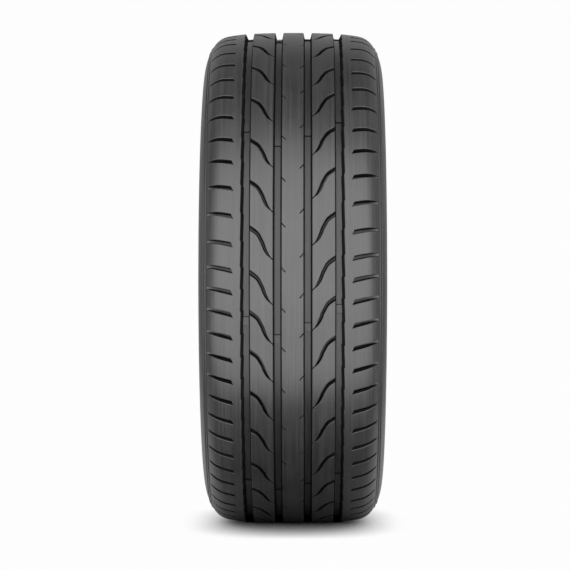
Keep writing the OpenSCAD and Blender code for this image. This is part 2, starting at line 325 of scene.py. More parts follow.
def reached(a, b, across):
    """Where the line from a through b reaches a distance from the tyre's middle."""
    return a + (b - a) * (across - a[0]) / (b[0] - a[0])


def slash_groove():
    knee, neck = (np.column_stack([RIB_OUT - bends[:, 0] * (RIB_OUT - RIB_IN),
                                   bends[:, 1] * SLASH_SWEEP])
                  for bends in (SLASH_KNEE, SLASH_NECK))
    rib_end = np.array([RIB_IN, SLASH_SWEEP])
    line = np.vstack([reached(knee[1], knee[0], RIB_OUT + REACH), bend(*knee, KNEE_STEPS),
                      bend(*neck, NECK_STEPS), reached(neck[2], rib_end, RIB_IN - REACH / 2)])
    fade = 1 - np.linspace(0, 1, NECK_STEPS + 1) ** 2
    width = np.concatenate([np.linspace(SLASH_MOUTH, SLASH_WIDTH, KNEE_STEPS + 3)[:-1],
                            SIPE_WIDTH + (SLASH_WIDTH - SIPE_WIDTH) * fade, [SIPE_WIDTH]])
    course = np.vstack([line[1] - line[0], line[2:] - line[:-2], line[-1] - line[-2]])
    course /= np.linalg.norm(course, axis=1, keepdims=True)
    aside = np.column_stack([-course[:, 1], course[:, 0]]) * width[:, None] / 2
    outline = np.vstack([line + aside, (line - aside)[::-1]])
    outline[:, 0] = s_of(outline[:, 0])
    lean = np.clip(SLASH_LEAN * width / SLASH_WIDTH, SIPE_LEAN, LEAN_SHARE_MOST * width)
    rounding = np.clip(ROUNDING_SHARE * width, SIPE_ROUNDING, EDGE_ROUNDING)
    return cut(outline, np.concatenate([lean, lean[::-1]]), SLASH_DEPTH,
               np.concatenate([rounding, rounding[::-1]]))


def straight_cut(start, end, width, lean, depth, rounding):
    """A narrow cut of even width from one point of the map to another."""
    start, end = np.array(start, float), np.array(end, float)
    along = (end - start) / np.linalg.norm(end - start)
    aside = np.array([-along[1], along[0]]) * width / 2
    outline = np.vstack([start + aside, end + aside, end - aside, start - aside])
    return cut(outline, lean, depth, rounding)


def edge_sipe():
    """The short slanting sipe that notches the edge of the middle rib."""
    edge = CENTRE_GROOVE - CENTRE_WIDTH / 2
    start = np.array([s_of(edge + REACH / 2), -REACH / 2])
    run = EDGE_SIPE_LENGTH + REACH / 2 / math.cos(EDGE_SIPE_SLANT)
    end = start + run * np.array([-math.cos(EDGE_SIPE_SLANT), math.sin(EDGE_SIPE_SLANT)])
    return straight_cut(start, end, SIPE_WIDTH, SIPE_LEAN, EDGE_SIPE_DEPTH, SIPE_ROUNDING)


# %% [markdown]
# ## Shoulder slots
#
# A slot is deepest at its inner end and runs out where the shoulder turns down, because
# its base is a straight line while the rubber's surface curves away from it. The depth is
# the distance between the two, so the slot fades by itself and needs no drawn end.

# %% Draw a shoulder slot
SLOT_LAND = 7.8
SLOT_MOUTH = 6.1
SLOT_SLANT = 2.6
SLOT_TAIL = 3.7
SLOT_CLIMB = 4.4
SLOT_DEPTH = 6.5
SLOT_BEND_STEPS = 10
SLOT_KNEE_TOP = 0.56
SLOT_KNEE_LOW = 0.8
SLOT_LEAN_TOP = 1.0
SLOT_LEAN_LOW = 1.4
SLOT_LEAN_LEAST = 0.25
SLOT_SAMPLES = 400
SLOT_FROM = SHOULDER_GROOVE + SHOULDER_WIDTH / 2 + SLOT_LAND
SLOT_WAY = across_at(SHOULDER_END) - SLOT_FROM
slot_base_in = radius_at(s_of(SLOT_FROM)) - SLOT_DEPTH
SLOT_FALL = math.atan((slot_base_in - radius_at(SHOULDER_END)) / SLOT_WAY)


def slot_coordinates(s):
    """Where a point of the tread's surface lies along a slot's base, and how far above it."""
    across, up = across_at(s) - SLOT_FROM, radius_at(s) - slot_base_in
    return (across * math.cos(SLOT_FALL) - up * math.sin(SLOT_FALL),
            across * math.sin(SLOT_FALL) + up * math.cos(SLOT_FALL))


def shoulder_slot():
    length = SLOT_WAY / math.cos(SLOT_FALL) + REACH / 3
    tail = SLOT_TAIL - SLOT_CLIMB
    top = bend((SLOT_SLANT, 0), (length * SLOT_KNEE_TOP, -SLOT_CLIMB), (length, -SLOT_CLIMB),
               SLOT_BEND_STEPS)
    low = bend((0, SLOT_MOUTH), (length * SLOT_KNEE_LOW, tail), (length, tail), SLOT_BEND_STEPS)
    outline = np.vstack([top, low[::-1]])
    s = np.linspace(s_of(SLOT_FROM - REACH), SHOULDER_END + REACH / 3, SLOT_SAMPLES)
    along, above = slot_coordinates(s)
    outline[:, 0] = np.interp(outline[:, 0], along, s)
    depth = np.clip(np.interp(outline[:, 0], s, above), 0, None)
    half_depth = len(depth) // 2
    share = np.clip(depth[:half_depth] / SLOT_DEPTH, SLOT_LEAN_LEAST, 1)
    lean = np.concatenate([SLOT_LEAN_TOP * share, (SLOT_LEAN_LOW * share)[::-1]])
    return cut(outline, lean, depth, EDGE_ROUNDING)


# %% [markdown]
# ## Grooves that run round the tyre
#
# The four long grooves depend only on the distance across the tread, so each is a short
# list of places and depths. The wall towards the shoulder leans more than the other. On
# the two shoulder grooves that wall also steps in and out a little, once for each slot,
# as the mould's blocks do.
#
# Low bars lie across the base of each groove at eight places. They meet the road when
# the tyre is worn out. A bar doesn't cut anything: it puts a limit on the groove's depth.

# %% Describe the long grooves and the wear bars
GROOVE_DEPTH = 8.5
INNER_LEAN = 1.7
OUTER_LEAN = {CENTRE_GROOVE: 1.9, SHOULDER_GROOVE: 2.9}
WIDTHS = {CENTRE_GROOVE: CENTRE_WIDTH, SHOULDER_GROOVE: SHOULDER_WIDTH}
SAW_REACH = 0.9
SAW_LEAD = -2.0
SAW_RETURN = 1.2
BAR_HEIGHT = 1.6
BAR_LENGTH = 10.0
BAR_RAMP = 0.6
BARS_ROUND = 8
SHOULDER_BAR_ANGLE = 9.5
CENTRE_BAR_ANGLE = 13.5
CIRCUMFERENCE = 2 * math.pi * TYRE_R


def side_turn(side):
    return SIDE_SHIFT if side > 0 else 0.0


def slot_places(side):
    """Where the slots of one half start, as lengths round the tyre, in order."""
    turns = np.radians(slot_angles + side_turn(side)) * TYRE_R
    return np.sort((turns + CIRCUMFERENCE / 2) % CIRCUMFERENCE - CIRCUMFERENCE / 2)


def saw_corners(side):
    """Corners of the stepped wall: (length round the tyre, how far it stands out)."""
    places = slot_places(side)
    places = np.concatenate([places[-2:] - CIRCUMFERENCE, places, places[:2] + CIRCUMFERENCE])
    corners = []
    for place in places:
        corners += [(place + SAW_LEAD, SAW_REACH), (place + SAW_LEAD + SAW_RETURN, 0.0)]
    return np.array(corners)


SAW = {side: saw_corners(side) for side in (-1, 1)}


def long_grooves():
    """Each groove as side, middle, and whether its outer wall is stepped."""
    return [(side, middle, stepped) for side in (-1, 1)
            for middle, stepped in ((CENTRE_GROOVE, False), (SHOULDER_GROOVE, True))]


def groove_lines(middle):
    """Places across a groove, from the tyre's middle outwards, with their depths."""
    edge_in, edge_out = middle - WIDTHS[middle] / 2, middle + WIDTHS[middle] / 2
    lip_in, lip_drop = LIP_IN * EDGE_ROUNDING, LIP_DROP * EDGE_ROUNDING
    return [(edge_in - EDGE_ROUNDING, 0.0), (edge_in + lip_in, lip_drop),
            (edge_in + INNER_LEAN, GROOVE_DEPTH), (edge_out - OUTER_LEAN[middle], GROOVE_DEPTH),
            (edge_out - lip_in, lip_drop), (edge_out + EDGE_ROUNDING, 0.0)]


def bar_places(side, stepped):
    first = SHOULDER_BAR_ANGLE if stepped else CENTRE_BAR_ANGLE
    turns = np.radians(first + np.arange(BARS_ROUND) * 360 / BARS_ROUND + side_turn(side))
    return (turns * TYRE_R + CIRCUMFERENCE / 2) % CIRCUMFERENCE - CIRCUMFERENCE / 2


def groove_depth_at(s, w):
    """Depth of the long grooves at points of the map."""
    depth = np.zeros(len(s))
    for side, middle, stepped in long_grooves():
        across = across_at(s) * side
        if stepped:
            across = np.where(across > middle, across - np.interp(w, *SAW[side].T), across)
        places, depths = np.array(groove_lines(middle)).T
        here = np.interp(across, places, depths, left=0, right=0)
        for place in bar_places(side, stepped):
            beyond = np.clip((np.abs(w - place) - BAR_LENGTH / 2) / BAR_RAMP, 0, 1)
            here = np.minimum(here, GROOVE_DEPTH - BAR_HEIGHT * (1 - beyond))
        depth = np.maximum(depth, here)
    return depth


# %% [markdown]
# ## The map
#
# All the outlines now go on one flat map: across the tread one way and round the wheel
# the other. A constrained triangulation fills it with triangles and keeps each given
# line as an edge, also where two outlines cross. Its points know only their place, so
# afterwards each one asks the cuts how deep it lies, and the deepest answer holds.
#
# Extra rows of points carry the curve of the crown and the shoulder. They stay clear of
# the outlines, because points that nearly touch make slivers, and slivers shade badly.
#
# Each cut also carries how matt its rubber is at full depth, from 0 for the gloss of the
# tread to 1 for none. A slash is the most matt, as the photograph shows.

# %% Collect every line that the mesh must follow
ROUND_STEPS = 300
SEAM = CIRCUMFERENCE / 2
SEAM_MARGIN = 1.0
MATT_SLASH = 0.72
MATT_SLOT = 0.5


def all_cuts():
    """Every cut of the pattern, with copies that hang over the seam of the map."""
    slash, notch, slot = slash_groove(), edge_sipe(), shoulder_slot()
    made = []
    for side in (-1, 1):
        for angle in slash_angles[side]:
            made += [moved(slash, angle, side, MATT_SLASH),
                     moved(notch, angle + EDGE_SIPE_LEAD, side, MATT_SLASH)]
        made += [moved(slot, angle, side, MATT_SLOT) for angle in slot_angles + side_turn(side)]
    wrapped = []
    for shape in made:
        for lap in (-1, 0, 1):
            points = shape["points"] + (0, lap * CIRCUMFERENCE)
            if np.any(np.abs(points[:, 1]) < SEAM + SEAM_MARGIN):
                wrapped.append({**shape, "points": points})
    return wrapped


class Lines:
    """Points and the edges between them, as the triangulation wants them."""

    def __init__(self):
        self.points, self.edges, self.count = [], [], 0

    def add(self, points, closed=False):
        count = len(points)
        first = np.arange(count if closed else count - 1)
        self.edges.append(np.column_stack([first, (first + 1) % count]) + self.count)
        self.points.append(np.array(points, float))
        self.count += count

    def dots(self, points):
        self.points.append(points)
        self.count += len(points)


def round_line(across, side, stepped, steps):
    """A line round the tyre at a distance across it, following the stepped wall if asked."""
    w = steps
    if stepped:
        corners = SAW[side][:, 0]
        w = np.unique(np.concatenate([steps, corners[np.abs(corners) < SEAM]]))
        across = across + np.interp(w, *SAW[side].T)
    return np.column_stack([side * s_of(across) * np.ones(len(w)), w])


cuts = all_cuts()
lines = Lines()
ring_places = np.linspace(-SEAM, SEAM, ROUND_STEPS + 1)
for shape in cuts:
    for ring in shape["rings"]:
        lines.add(shape["points"][ring], closed=True)
for side, middle, stepped in long_grooves():
    for across, _ in groove_lines(middle):
        lines.add(round_line(across, side, stepped and across > middle, ring_places))
    edge_in, edge_out = (s_of(middle + reach) * side
                         for reach in (-WIDTHS[middle] / 2, WIDTHS[middle] / 2))
    for place in bar_places(side, stepped):
        for end in (-1, 1):
            for reach in (BAR_LENGTH / 2, BAR_LENGTH / 2 + BAR_RAMP):
                w = place + end * reach
                lines.add([(edge_in, w), (edge_out, w)])
print(len(cuts), "cuts give", lines.count, "points on outlines")

# %% Add the rows that carry the curve
CROWN_ROWS = (0, 5.5, 10.5, 28, 33, 38, 43, 48, 65.5, 70.5, 75.5, 79.5, 83)
SHOULDER_ROW_STEP = 2.4
LAST_ROW_CLEARANCE = 0.5
ROW_CLEARANCE = 1.1

shoulder_rows = np.arange(s_of(BAND_END) + SHOULDER_ROW_STEP, TREAD_EDGE - LAST_ROW_CLEARANCE,
                          SHOULDER_ROW_STEP)
rows = np.concatenate([s_of(np.array(CROWN_ROWS, float)), shoulder_rows])
rows = np.unique(np.round(np.concatenate([-rows, rows]), 6))
middles = (ring_places[1:] + ring_places[:-1]) / 2
near = kdtree.KDTree(lines.count)
for index, point in enumerate(np.vstack(lines.points)):
    near.insert((point[0], point[1], 0), index)
near.balance()
dots = np.array([(s, w) for k, s in enumerate(rows)
                 for w in (middles if k % 2 else ring_places[1:-1])])
clear = [near.find((s, w, 0))[2] > ROW_CLEARANCE for s, w in dots]
lines.dots(dots[np.array(clear)])
seam_places = np.concatenate([[-TREAD_EDGE], rows, [TREAD_EDGE]])
for end in (-SEAM, SEAM):
    lines.add(np.column_stack([seam_places, np.full(len(seam_places), end)]))
for side in (-1, 1):
    lines.add(np.column_stack([np.full(len(ring_places), side * TREAD_EDGE), ring_places]))
print(lines.count, "points go into the triangulation")

# %% Triangulate the map
NEARLY = 1e-4
map_points, _, map_faces, _, _, _ = delaunay_2d_cdt(
    [Vector(p) for p in np.vstack(lines.points)], np.vstack(lines.edges).tolist(), [],
    0, NEARLY, False)
map_points = np.array([tuple(p) for p in map_points])
map_faces = np.array(map_faces)
centres = map_points[map_faces].mean(axis=1)
inside = (np.abs(centres[:, 1]) < SEAM) & (np.abs(centres[:, 0]) < TREAD_EDGE)
map_faces = map_faces[inside]
used = np.unique(map_faces)
renumber = np.full(len(map_points), -1)
renumber[used] = np.arange(len(used))
map_points, map_faces = map_points[used], renumber[map_faces]
print(len(map_points), "points and", len(map_faces), "triangles on the map")

# %% [markdown]
# ## How deep each point lies
#
# For each cut, only the points inside its own box are tested. A point that lies in one
# of the cut's triangles takes its depth from the triangle's corners, weighted by how
# near it is to each. Where a cut is the deepest so far, the point also takes its mattness.

# %% Ask the cuts for the depth of every point
TOUCH = 1e-5
MATT_GROOVE = 0.3


def cut_depth(shape, points):
    """Depth of one cut at the given points, zero outside it."""
    corners = shape["points"][shape["triangles"]]
    depths = shape["depths"][shape["triangles"]]
    a, b, c = corners[:, 0], corners[:, 1], corners[:, 2]
    double = (b[:, 0] - a[:, 0]) * (c[:, 1] - a[:, 1]) - (b[:, 1] - a[:, 1]) * (c[:, 0] - a[:, 0])
    solid = np.abs(double) > TINY
    a, b, c, depths, double = a[solid], b[solid], c[solid], depths[solid], double[solid]
    px, py = points[:, :1], points[:, 1:]
    share_b = ((px - a[:, 0]) * (c[:, 1] - a[:, 1]) - (py - a[:, 1]) * (c[:, 0] - a[:, 0])) / double
    share_c = ((b[:, 0] - a[:, 0]) * (py - a[:, 1]) - (b[:, 1] - a[:, 1]) * (px - a[:, 0])) / double
    share_a = 1 - share_b - share_c
    within = np.minimum(np.minimum(share_a, share_b), share_c) > -TOUCH
    depth = share_a * depths[:, 0] + share_b * depths[:, 1] + share_c * depths[:, 2]
    return np.max(np.where(within, depth, 0), axis=1)


map_depth = groove_depth_at(map_points[:, 0], map_points[:, 1])
map_matt = MATT_GROOVE * map_depth / GROOVE_DEPTH
order = np.argsort(map_points[:, 1])
ordered_w = map_points[order, 1]
for shape in cuts:
    low, high = shape["points"].min(axis=0), shape["points"].max(axis=0)
    first, last = np.searchsorted(ordered_w, low[1]), np.searchsorted(ordered_w, high[1], "right")
    nearby = order[first:last]
    nearby = nearby[(map_points[nearby, 0] >= low[0]) & (map_points[nearby, 0] <= high[0])]
    if len(nearby):
        depth = cut_depth(shape, map_points[nearby])
        deeper = depth > map_depth[nearby]
        map_matt[nearby[deeper]] = shape["matt"] * depth[deeper] / SLASH_DEPTH
        map_depth[nearby] = np.maximum(map_depth[nearby], depth)
print(f"the deepest cut is {map_depth.max():.2f} mm,"
      f" {np.mean(map_depth > 1):.0%} of points lie over 1 mm deep")

# %% [markdown]
# ## The rest of the section
#
# Below the tread's map the section goes on down the sidewall, past fine moulded rings,
# over the rib that guards the rim and round the bead, and comes back inside as the
# liner. Nothing here changes round the wheel, so it is one list of points that is spun.
# The places where the photograph can't see, the beads and the inside, follow what every
# such tyre has.

# %% Draw the sidewall and the bead
FLANGE_FACE = 14.0
FLANGE_HOLLOW = 8.0
GUARD_REACH = 14.5
GUARD_NOSE = 2.6
TOE_RADIUS = 3.0
RING_HEIGHT = 0.7
RING_WIDTH = 1.6
RING_CORNERS = (-0.75, -0.4, 0.4, 0.75)
NEXT_TO = 0.1
UPPER_RINGS = (0.1, 0.25)
LOWER_RING = 0.65
LOWER_KNEE = 0.45
UPPER_STEPS = 16
LOWER_STEPS = 8
NOSE_TURN = (40, 180)
NOSE_POINTS = 6
CORNER_STEPS = 5
TOE_STEPS = 3


def quarter(corner, across, up, steps):
    """A quarter circle round a corner, from beside it to below it or above it."""
    turn = np.linspace(0, math.pi / 2, steps + 1)
    return np.column_stack([corner[0] + across * np.cos(turn), corner[1] + up * np.sin(turn)])


def with_ring(points, middle):
    """The section's points with one fine raised ring, at a length along them."""
    step = np.diff(points, axis=0)
    run = np.concatenate([[0], np.cumsum(np.hypot(step[:, 0], step[:, 1]))])
    corners = middle + np.array(RING_CORNERS) * RING_WIDTH
    raised = [0.0, RING_HEIGHT, RING_HEIGHT, 0.0]
    keep = np.abs(run - middle) > RING_WIDTH
    places = np.concatenate([run[keep], corners])
    heights = np.concatenate([np.zeros(keep.sum()), raised])
    sorting = np.argsort(places)
    places, heights = places[sorting], heights[sorting]
    ahead = np.column_stack([np.interp(places + NEXT_TO, run, points[:, k])
                             - np.interp(places - NEXT_TO, run, points[:, k]) for k in range(2)])
    ahead /= np.linalg.norm(ahead, axis=1, keepdims=True)
    base = np.column_stack([np.interp(places, run, points[:, k]) for k in range(2)])
    return base + np.column_stack([-ahead[:, 1], ahead[:, 0]]) * heights[:, None]


def outer_sidewall():
    """From the tread's edge over the widest place to the tip of the guard rib."""
    upper_s = np.linspace(TREAD_EDGE, CHAIN_S[-1], UPPER_STEPS + 1)
    upper = np.column_stack([across_at(upper_s), radius_at(upper_s)])
    for share in UPPER_RINGS:
        upper = with_ring(upper, CHAIN_S[int((len(CROWN_ARCS) + share) * ARC_STEPS)] - TREAD_EDGE)
    lower_knee = (HALF_WIDTH, guard_tip[1] + (upper[-1, 1] - guard_tip[1]) * LOWER_KNEE)
    lower = bend(upper[-1], lower_knee, guard_tip, LOWER_STEPS)
    length = np.sum(np.linalg.norm(np.diff(lower, axis=0), axis=1))
    return np.vstack([upper, with_ring(lower, LOWER_RING * length)[1:]])


hollow_top = (BEAD_FACE + FLANGE_HOLLOW, BEAD_R + FLANGE_FACE + FLANGE_HOLLOW)
guard_tip = (BEAD_FACE + GUARD_REACH - GUARD_NOSE / 3, hollow_top[1] + 2 * GUARD_NOSE)
guard_middle = (BEAD_FACE + GUARD_REACH - GUARD_NOSE, hollow_top[1] + GUARD_NOSE)
nose_turn = np.radians(np.linspace(*NOSE_TURN, NOSE_POINTS))
guard_nose = np.column_stack([guard_middle[0] + GUARD_NOSE * np.sin(nose_turn),
                              guard_middle[1] + GUARD_NOSE * np.cos(nose_turn)])
flange_hollow = quarter((BEAD_FACE, hollow_top[1]), FLANGE_HOLLOW, -FLANGE_HOLLOW,
                        CORNER_STEPS)
heel = quarter((BEAD_FACE - HEEL_RADIUS, BEAD_R + HEEL_RADIUS), HEEL_RADIUS, -HEEL_RADIUS,
               CORNER_STEPS)
toe_start = BEAD_FACE - HEEL_RADIUS - BEAD_LAND
toe = quarter((toe_start, BEAD_R + TOE_RADIUS), -TOE_RADIUS, -TOE_RADIUS,
              TOE_STEPS)[::-1]

# %% Draw the liner and close the section
SIDEWALL_THICKNESS = 9.0
CROWN_THICKNESS = 16.0
LINER_SHOULDER = (75.0, 4.0)
LINER_KNEE_DROP = 30.0
BEAD_BACK_IN = 6.0
TOE_RISE = 12.0
LINER_STEPS = {"bead": 3, "sidewall": 4, "shoulder": 7, "crown": 4}

bead_back = (BEAD_FACE - BEAD_BACK_IN, BEAD_R + FLANGE_FACE + FLANGE_HOLLOW)
inner_widest = (HALF_WIDTH - SIDEWALL_THICKNESS, TYRE_R - WIDEST_DROP)
liner_r = TYRE_R - CROWN_THICKNESS
liner_shoulder = (LINER_SHOULDER[0], liner_r - LINER_SHOULDER[1])
toe_knee = (toe[-1, 0], toe[-1, 1] + TOE_RISE)
sidewall_knee = (inner_widest[0], (bead_back[1] + inner_widest[1]) / 2)
shoulder_knee = (inner_widest[0], TYRE_R - LINER_KNEE_DROP)
liner = np.vstack([
    bend(toe[-1], toe_knee, bead_back, LINER_STEPS["bead"])[1:],
    bend(bead_back, sidewall_knee, inner_widest, LINER_STEPS["sidewall"])[1:],
    bend(inner_widest, shoulder_knee, liner_shoulder, LINER_STEPS["shoulder"])[1:],
    bend(liner_shoulder, (BAND_END / 2, liner_r), (0, liner_r), LINER_STEPS["crown"])[1:]])
half = np.vstack([outer_sidewall(), guard_nose, flange_hollow, heel, toe, liner])
section = np.vstack([half, half[-2::-1] * (-1, 1)])
liner_from = len(half) - len(liner)
print(len(section), "points in the section below the tread")

# %% [markdown]
# ## Wrap the map and spin the section
#
# Wrapping is one formula: the place across the tread gives a radius and a slope, the
# place round the wheel gives an angle, and the depth is measured straight into the
# rubber. The two ends of the map hold the same points, so they are joined by pairs. The
# spun rings start and end on the map's own border points, which makes the whole tyre one
# closed skin. Whatever reaches below the ground is pressed flat on it.
#
# Every face must look outwards. The triangulation says which way round it lists a
# triangle on the flat map, so one test there turns them all the same way. The spun bands
# all run the same way already, and the one at the widest place shows which way that is.

# %% Join the ends of the map
BORDER_REACH = 1e-3


def matched(axis, value):
    """Points on one straight border of the map, in order along it."""
    on_border = np.flatnonzero(np.abs(map_points[:, axis] - value) < BORDER_REACH)
    return on_border[np.argsort(map_points[on_border, 1 - axis])]


start_end, far_end = matched(1, -SEAM), matched(1, SEAM)
assert len(start_end) == len(far_end), "the ends of the map don't match"
same = np.arange(len(map_points))
same[far_end] = start_end
right_border, left_border = (matched(0, edge)[:-1] for edge in (TREAD_EDGE, -TREAD_EDGE))
print(len(start_end), "points on the joined ends,", len(right_border), "on each side")


# %% Wrap the map on the section
def wrapped(s, w, depth):
    """Points of the map in the part's frame, in millimetres."""
    lean = np.minimum(slope_at(s), SLOT_FALL)
    radius = radius_at(s) - depth * np.cos(lean)
    across = across_at(s) - np.sign(s) * depth * np.sin(lean)
    angle = w / TYRE_R
    return np.column_stack([radius * np.cos(angle), across, -radius * np.sin(angle)])


tread_points = wrapped(map_points[:, 0], map_points[:, 1], map_depth)
ring_angles = ring_places[:-1] / TYRE_R
inner_section = section[1:-1]
ring_points = np.stack([
    inner_section[:, 1, None] * np.cos(ring_angles),
    np.broadcast_to(inner_section[:, 0, None], (len(inner_section), ROUND_STEPS)),
    -inner_section[:, 1, None] * np.sin(ring_angles)], axis=2).reshape(-1, 3)
tyre_points = np.vstack([tread_points, ring_points])
tyre_points[:, 2] = np.maximum(tyre_points[:, 2], -GROUND)

rings = np.vstack([right_border,
                   len(map_points) + np.arange(len(ring_points)).reshape(-1, ROUND_STEPS),
                   left_border])
following = np.roll(rings, -1, axis=1)
quads = np.stack([rings[:-1], rings[1:], following[1:], following[:-1]], axis=2).reshape(-1, 4)
a, b, c = (map_points[map_faces[:, k]] for k in range(3))
turned_left = (b[:, 0] - a[:, 0]) * (c[:, 1] - a[:, 1])
turned_right = (b[:, 1] - a[:, 1]) * (c[:, 0] - a[:, 0])
counter_clockwise = turned_left > turned_right
triangles = np.where(counter_clockwise[:, None], map_faces[:, ::-1], map_faces)
triangles = same[triangles]
whole = ((triangles[:, 0] != triangles[:, 1]) & (triangles[:, 1] != triangles[:, 2])
         & (triangles[:, 2] != triangles[:, 0]))
triangles = triangles[whole]

a, b, c = (tyre_points[quads[:, k]] for k in range(3))
widest = np.argmax(tyre_points[quads].mean(axis=1)[:, 1])
if np.cross(b - a, c - a)[widest, 1] < 0:
    quads = quads[:, ::-1]
print(f"{len(triangles) + 2 * len(quads)} triangles in all")

# %% [markdown]
# ## The skin as a mesh
#
# Blender wants points, and faces as lists of point numbers. The points that the join left
# over are dropped first. A closed skin has exactly two faces on every edge, and this is
# counted here, because a hole would spoil the exported piece without showing in a render.

# %% Make the mesh
faces_used = np.unique(np.concatenate([triangles.ravel(), quads.ravel()]))
new_number = np.full(len(tyre_points), -1)
new_number[faces_used] = np.arange(len(faces_used))
skin_points = tyre_points[faces_used]
triangles, quads = new_number[triangles], new_number[quads]

skin = bpy.data.meshes.new("tyre_skin")
skin.from_pydata((skin_points * MM).tolist(), [], triangles.tolist() + quads.tolist())
tyre = bpy.data.objects.new("tyre_skin", skin)
bpy.context.scene.collection.objects.link(tyre)

sides = np.vstack([triangles[:, [k, (k + 1) % 3]] for k in range(3)]
                  + [quads[:, [k, (k + 1) % 4]] for k in range(4)])
_, uses = np.unique(np.sort(sides, axis=1), axis=0, return_counts=True)
_, ways = np.unique(sides, axis=0, return_counts=True)
print(f"{len(skin.vertices)} points, {np.sum(uses != 2)} edges without exactly two faces,"
      f" {np.sum(ways > 1)} edges whose faces look opposite ways")

# %% [markdown]
# ## Shading
#
# A mesh of flat triangles looks smooth when its corners carry the direction of the real
# surface. Blender can work these directions out from the neighbours, but beside a groove
# the neighbours are long thin triangles, and the rubber would look dented. On the uncut
# rubber the direction is known from the section, so it is written there. Everywhere else
# Blender's own answer is good, with a crease wherever the surface turns sharply.

# %% Set smooth shading and the known directions
CREASE = math.radians(28)
UNCUT_DEPTH = 1e-4
PRESSED_REACH = 1e-3
skin.shade_smooth()
skin.set_sharp_from_angle(angle=CREASE)
skin_depth = np.concatenate([map_depth, np.zeros(len(ring_points))])[faces_used]
skin_s = np.concatenate([map_points[:, 0], np.zeros(len(ring_points))])[faces_used]
skin_w = np.concatenate([map_points[:, 1], np.zeros(len(ring_points))])[faces_used]
pressed = skin_points[:, 2] <= -GROUND + PRESSED_REACH
uncut = np.all((skin_depth[triangles] < UNCUT_DEPTH) & ~pressed[triangles], axis=1)
slope, angle = slope_at(skin_s), skin_w / TYRE_R
direction = np.column_stack([np.cos(slope) * np.cos(angle), np.sign(skin_s) * np.sin(slope),
                             -np.cos(slope) * np.sin(angle)])
corner_direction = np.zeros((len(skin.loops), 3))
corner_direction[:3 * len(triangles)] = np.where(np.repeat(uncut, 3)[:, None],
                                                 direction[triangles.ravel()], 0)
skin.normals_split_custom_set(corner_direction.tolist())
print(f"{np.mean(uncut):.0%} of the tread's triangles lie on uncut rubber")

# %% [markdown]
# ## What the materials need to know
#
# Four stretches of the skin have a finish of their own: the tread, the walls of its cuts,
# the sidewall with the bead, and the liner inside. The walls are easy to find, because
# they stand steeply to the section. They matter, because in the photograph they are the
# blackest rubber of all. They keep the gloss-free skin of the mould, and their darker
# colour is painted shade, for the shade that falls inside the cuts.
# Each face carries the number of its material. Each point also carries two numbers: how
# deep it lies below the tread, which lets the grooves be dustier than the rubber around
# them, and how matt it is, which takes the sheen off the base of the cuts.

# %% Mark depth and stretches on the mesh
TREAD, WALL, SIDEWALL, LINER = range(4)
STEEP = math.cos(math.radians(45))
WALL_DEPTH = 1.0
skin_matt = np.concatenate([map_matt, np.zeros(len(ring_points))])[faces_used]
for name, share in (("groove_depth", skin_depth / GROOVE_DEPTH), ("matt", skin_matt)):
    skin.attributes.new(name, "FLOAT", "POINT").data.foreach_set("value", share.astype(np.float32))
a, b, c = (skin_points[triangles[:, k]] for k in range(3))
face_direction = np.cross(b - a, c - a)
face_direction /= np.maximum(np.linalg.norm(face_direction, axis=1, keepdims=True), TINY)
steep = np.sum(face_direction * direction[triangles[:, 0]], axis=1) < STEEP
steep &= np.max(skin_depth[triangles], axis=1) > WALL_DEPTH
bands = len(rings) - 1
band_kind = np.full(bands, SIDEWALL)
band_kind[liner_from:bands - liner_from] = LINER
kinds = np.concatenate([np.where(steep, WALL, TREAD), np.repeat(band_kind, ROUND_STEPS)])
skin.polygons.foreach_set("material_index", kinds.astype(np.int32))
print({name: int(np.sum(kinds == kind)) for name, kind in
       (("tread", TREAD), ("wall", WALL), ("sidewall", SIDEWALL), ("liner", LINER))}, "faces")

# %% [markdown]
# ## Effects that the rubbers share
#
# Cured rubber copies its mould. The mould's rings were turned on a lathe, so a tyre shows
# faint marks that run round it, and the rubber between them has a fine grain. Over that
# lies a thin uneven film of wax and dust. These two effects are node groups: the marks
# give a height for a bump and a mask of faint streaks, the film gives a mask of its own,
# and the two masks together shift colour and roughness.
#
# Marks that run round a wheel are noise that changes quickly across the tyre and slowly
# along it. The two slow directions are the object's own X and Z, so the pattern closes on
# itself after a turn with no seam.

# %% Helpers for building node trees
def node_group(name, inputs, outputs):
    """An empty shader node group with number sockets, and its two end nodes."""
    group = bpy.data.node_groups.new(name, "ShaderNodeTree")
    for socket, value in inputs.items():
        made = group.interface.new_socket(name=socket, in_out="INPUT",
                                          socket_type="NodeSocketFloat")
        made.default_value = value
    for socket in outputs:
        group.interface.new_socket(name=socket, in_out="OUTPUT", socket_type="NodeSocketFloat")
    return group, group.nodes.new("NodeGroupInput"), group.nodes.new("NodeGroupOutput")


def add(tree, kind, link=None, **settings):
    """A node with its settings, with sockets linked or set by name or number."""
    made = tree.nodes.new(kind)
    for name, value in settings.items():
        setattr(made, name, value)
    for socket, value in (link or {}).items():
        if isinstance(value, bpy.types.NodeSocket):
            tree.links.new(value, made.inputs[socket])
        else:
            made.inputs[socket].default_value = value
    return made


def maths(tree, operation, *values):
    return add(tree, "ShaderNodeMath", dict(enumerate(values)), operation=operation).outputs[0]


# %% Mould marks and grain
ROUND_SHARE = 0.012
STREAK_RANGE = (0.32, 0.68)


